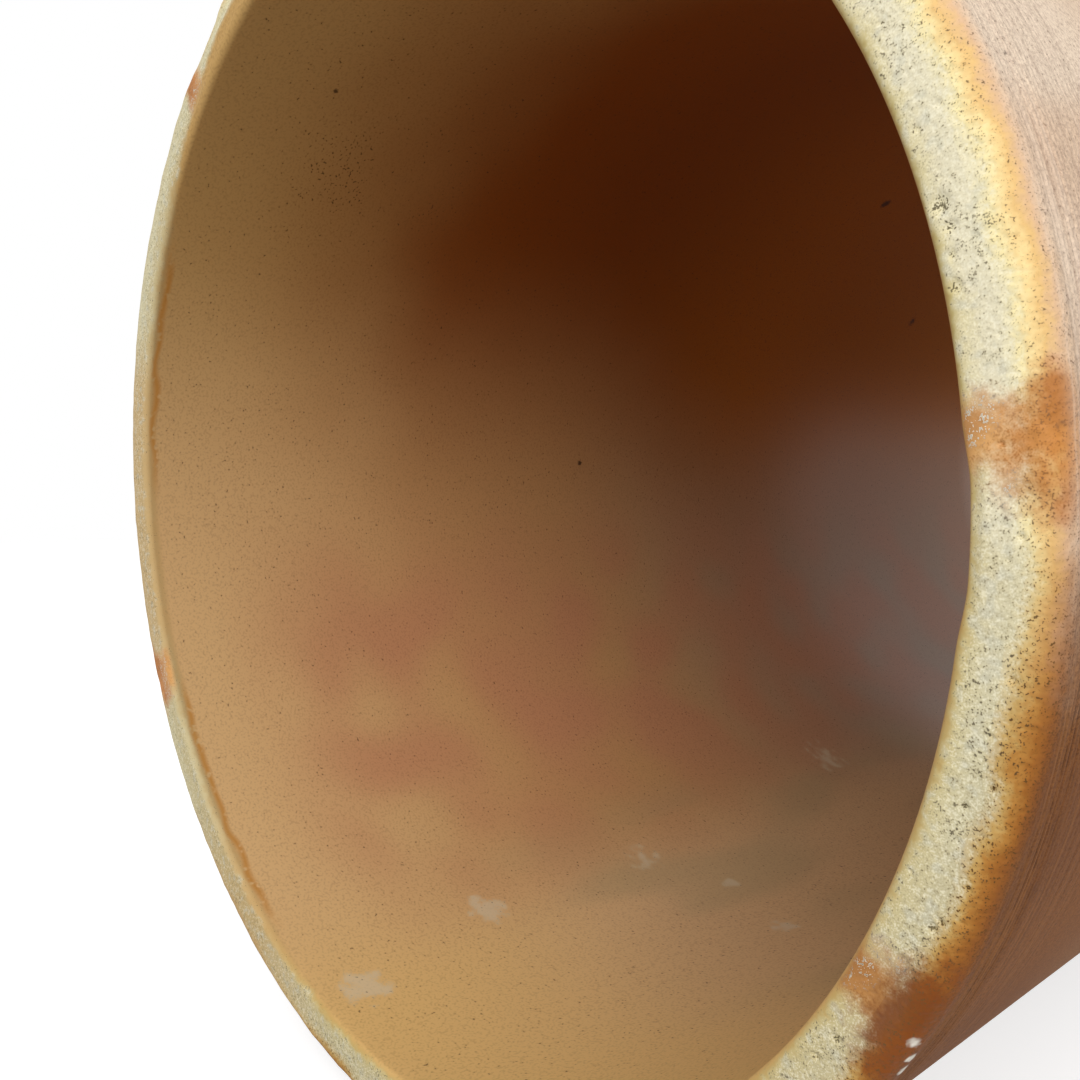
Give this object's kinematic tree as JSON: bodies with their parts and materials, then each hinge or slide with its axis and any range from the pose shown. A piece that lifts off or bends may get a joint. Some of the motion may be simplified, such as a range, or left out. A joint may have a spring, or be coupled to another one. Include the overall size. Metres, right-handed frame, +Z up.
{
  "type": "clay drain pipe",
  "caption": "Salt-glazed stoneware drain pipe, nominal bore 500 mm, with a plain combed spigot end and a bell socket at the far end, lying on its side.",
  "frame": {"origin": "on the floor, under the middle of the pipe's length and width", "axes": "+Y along the pipe from the spigot to the socket, +Z up. The pipe's own axis rises 2.7 degrees towards the socket, because the pipe lies on its shoulder and on its spigot's edge."},
  "size_m": [0.6438, 1.096, 0.6464],
  "materials": {
    "stoneware": "salt-glazed brown stoneware, bare pale clay on the end faces"
  },
  "bodies": {
    "root": {"pipe": "stoneware"}
  },
  "joints": []
}
